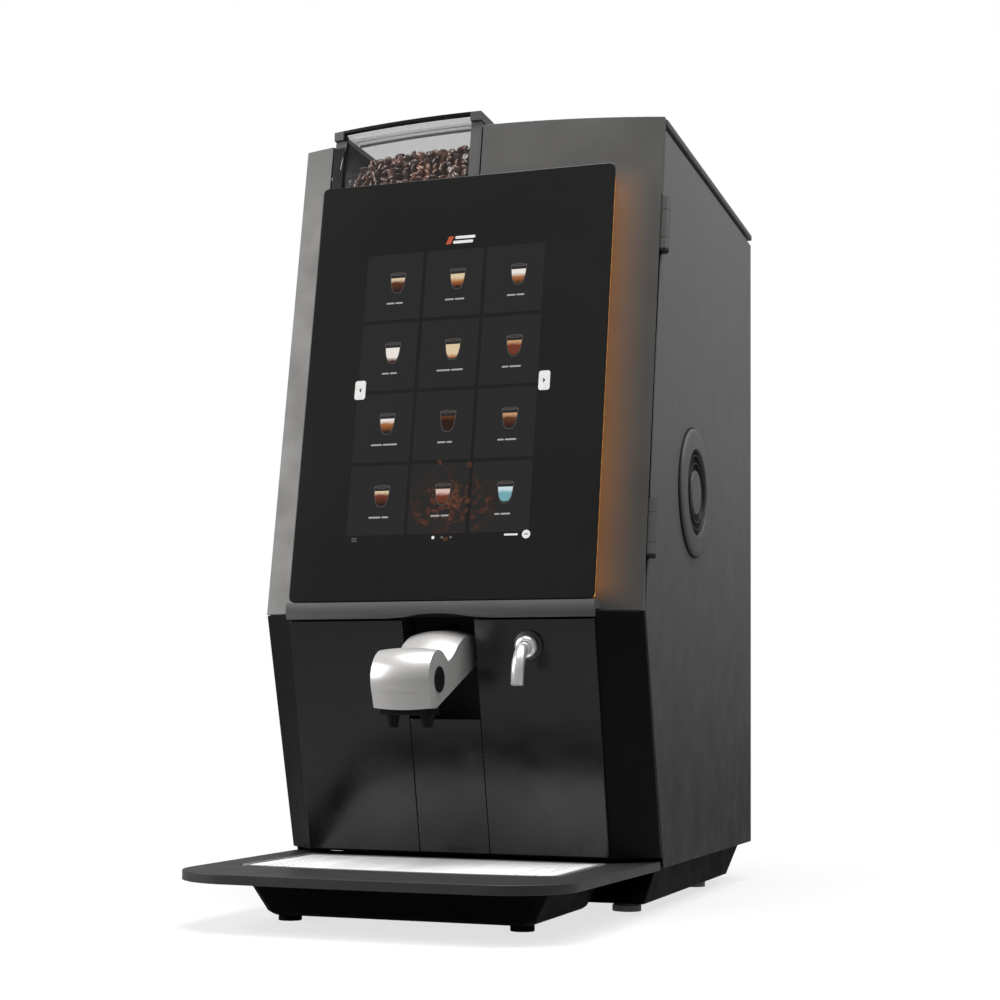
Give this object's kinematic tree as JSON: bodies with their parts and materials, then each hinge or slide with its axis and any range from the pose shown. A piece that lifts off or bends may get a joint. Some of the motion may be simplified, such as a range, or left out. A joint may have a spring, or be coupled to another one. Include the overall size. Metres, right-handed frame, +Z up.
{
  "type": "coffee vending machine",
  "caption": "Table-top hot coffee vending machine with a bowed touch-screen door, sliding spout, hot water tap, bean hopper and wide drip tray.",
  "frame": {"origin": "middle of the footprint, on the surface that the feet stand on", "axes": "+Z up, the front faces -Y, +X on the right of someone facing the front"},
  "size_m": [0.3482, 0.6735, 0.7005],
  "materials": {
    "side_panel_right": "fine satin powder coat",
    "side_panel_left": "fine satin powder coat",
    "back_panel": "fine satin powder coat",
    "top_cover": "satin",
    "plinth": "satin",
    "levelling_foot_front_left": "satin",
    "levelling_foot_front_right": "satin",
    "levelling_foot_rear_left": "satin",
    "levelling_foot_rear_right": "satin",
    "side_vent": "satin",
    "fan_frame": "satin",
    "fan_rotor": "satin",
    "door_frame": "satin",
    "touch_glass": "polished",
    "display_module": "satin",
    "light_strip_left": "translucent diffuser",
    "light_strip_right": "translucent diffuser",
    "chin_bar": "satin",
    "door_lower_shell": "satin",
    "lower_panel_left": "semi-gloss",
    "lower_panel_right": "semi-gloss",
    "channel_strip": "semi-gloss",
    "spout_recess_liner": "satin",
    "door_liner": "zinc plated",
    "hinge_upper_cabinet": "satin",
    "hinge_lower_cabinet": "satin",
    "hinge_upper_door": "satin",
    "hinge_lower_door": "satin",
    "spout_cover": "silver paint",
    "spout_cap_left": "satin",
    "spout_cap_right": "satin",
    "nozzle_block": "satin",
    "spout_carriage": "satin",
    "tap_flange": "satin",
    "tap_tube": "polished",
    "hopper_housing": "satin",
    "hopper_window": "clear plastic",
    "hopper_lid_frame": "satin",
    "hopper_lid_pane": "clear ribbed plastic",
    "lid_hinge": "satin",
    "grinder_housing": "cast",
    "grinder_burr": "machined",
    "brew_chamber": "satin",
    "brew_piston": "machined",
    "powder_canister": "satin",
    "powder_auger": "satin",
    "mixing_bowl": "satin",
    "whipper": "satin",
    "boiler": "brushed",
    "water_pump": "satin",
    "valve_block": "machined",
    "water_hose": "silicone",
    "grounds_bin": "satin",
    "control_board": "lacquered board",
    "mains_inlet": "satin",
    "power_rocker": "satin",
    "cabinet_lock": "polished",
    "drip_tray_frame": "satin",
    "drip_grille": "bright",
    "drip_basin": "satin"
  },
  "bodies": {
    "cabinet": {"side_panel_right": "side_panel_right", "side_panel_left": "side_panel_left", "back_panel": "back_panel", "top_cover": "top_cover", "plinth": "plinth", "levelling_foot_front_left": "levelling_foot_front_left", "levelling_foot_front_right": "levelling_foot_front_right", "levelling_foot_rear_left": "levelling_foot_rear_left", "levelling_foot_rear_right": "levelling_foot_rear_right", "side_vent": "side_vent", "fan_frame": "fan_frame", "hinge_upper_cabinet": "hinge_upper_cabinet", "hinge_lower_cabinet": "hinge_lower_cabinet", "hopper_housing": "hopper_housing", "hopper_window": "hopper_window", "lid_hinge": "lid_hinge", "grinder_housing": "grinder_housing", "brew_chamber": "brew_chamber", "powder_canister": "powder_canister", "mixing_bowl": "mixing_bowl", "boiler": "boiler", "water_pump": "water_pump", "valve_block": "valve_block", "water_hose": "water_hose", "grounds_bin": "grounds_bin", "control_board": "control_board", "mains_inlet": "mains_inlet"},
    "door": {"door_frame": "door_frame", "door_liner": "door_liner", "touch_glass": "touch_glass", "display_module": "display_module", "light_strip_left": "light_strip_left", "light_strip_right": "light_strip_right", "chin_bar": "chin_bar", "door_lower_shell": "door_lower_shell", "lower_panel_left": "lower_panel_left", "lower_panel_right": "lower_panel_right", "channel_strip": "channel_strip", "spout_recess_liner": "spout_recess_liner", "tap_flange": "tap_flange", "tap_tube": "tap_tube", "hinge_upper_door": "hinge_upper_door", "hinge_lower_door": "hinge_lower_door"},
    "spout": {"spout_cover": "spout_cover", "spout_cap_left": "spout_cap_left", "spout_cap_right": "spout_cap_right", "nozzle_block": "nozzle_block", "spout_carriage": "spout_carriage"},
    "hopper_lid": {"hopper_lid_frame": "hopper_lid_frame", "hopper_lid_pane": "hopper_lid_pane"},
    "drip_tray": {"drip_tray_frame": "drip_tray_frame", "drip_basin": "drip_basin"},
    "tray_insert": {"drip_grille": "drip_grille"},
    "fan": {"fan_rotor": "fan_rotor"},
    "grinder": {"grinder_burr": "grinder_burr"},
    "auger": {"powder_auger": "powder_auger"},
    "mixer": {"whipper": "whipper"},
    "piston": {"brew_piston": "brew_piston"},
    "lock": {"cabinet_lock": "cabinet_lock"},
    "rocker": {"power_rocker": "power_rocker"}
  },
  "joints": [
    {"name": "door_hinge", "type": "hinge", "parent": "cabinet", "child": "door", "pos_m": [0.172, -0.09503, 0.45], "axis": [0, 0.1561, 0.9877], "range_deg": [0, 110]},
    {"name": "spout_slide", "type": "slide", "parent": "door", "child": "spout", "axis": [0, -0.2398, 0.9708], "range_m": [-0.026, 0.009]},
    {"name": "lid_hinge", "type": "hinge", "parent": "cabinet", "child": "hopper_lid", "pos_m": [-0.062, 0.092, 0.6965], "axis": [-1, 0, 0], "range_deg": [0, 80]},
    {"name": "tray_slide", "type": "slide", "parent": "cabinet", "child": "drip_tray", "axis": [0, -1, 0], "range_m": [0, 0.18]},
    {"name": "insert_lift", "type": "slide", "parent": "drip_tray", "child": "tray_insert", "axis": [0, -0.2607, 0.9654], "range_m": [0, 0.05]},
    {"name": "fan_spin", "type": "hinge", "parent": "cabinet", "child": "fan", "pos_m": [0.1565, 0.051, 0.3725], "axis": [1, 0, 0], "continuous": true},
    {"name": "burr_spin", "type": "hinge", "parent": "cabinet", "child": "grinder", "pos_m": [-0.062, -0.004, 0.5], "axis": [0, 0, 1], "continuous": true},
    {"name": "auger_spin", "type": "hinge", "parent": "cabinet", "child": "auger", "pos_m": [0.0925, 0.06, 0.478], "axis": [0, 1, 0], "continuous": true},
    {"name": "mixer_spin", "type": "hinge", "parent": "cabinet", "child": "mixer", "pos_m": [0.085, -0.002, 0.37], "axis": [0, 0, 1], "continuous": true},
    {"name": "piston_slide", "type": "slide", "parent": "cabinet", "child": "piston", "axis": [0, 0, -1], "range_m": [0, 0.085]},
    {"name": "lock_turn", "type": "hinge", "parent": "cabinet", "child": "lock", "pos_m": [-0.17, -0.06703, 0.45], "axis": [1, 0, 0], "range_deg": [0, 90]},
    {"name": "switch_rock", "type": "hinge", "parent": "cabinet", "child": "rocker", "pos_m": [0.065, 0.3265, 0.1125], "axis": [1, 0, 0], "range_deg": [-6, 6]}
  ]
}
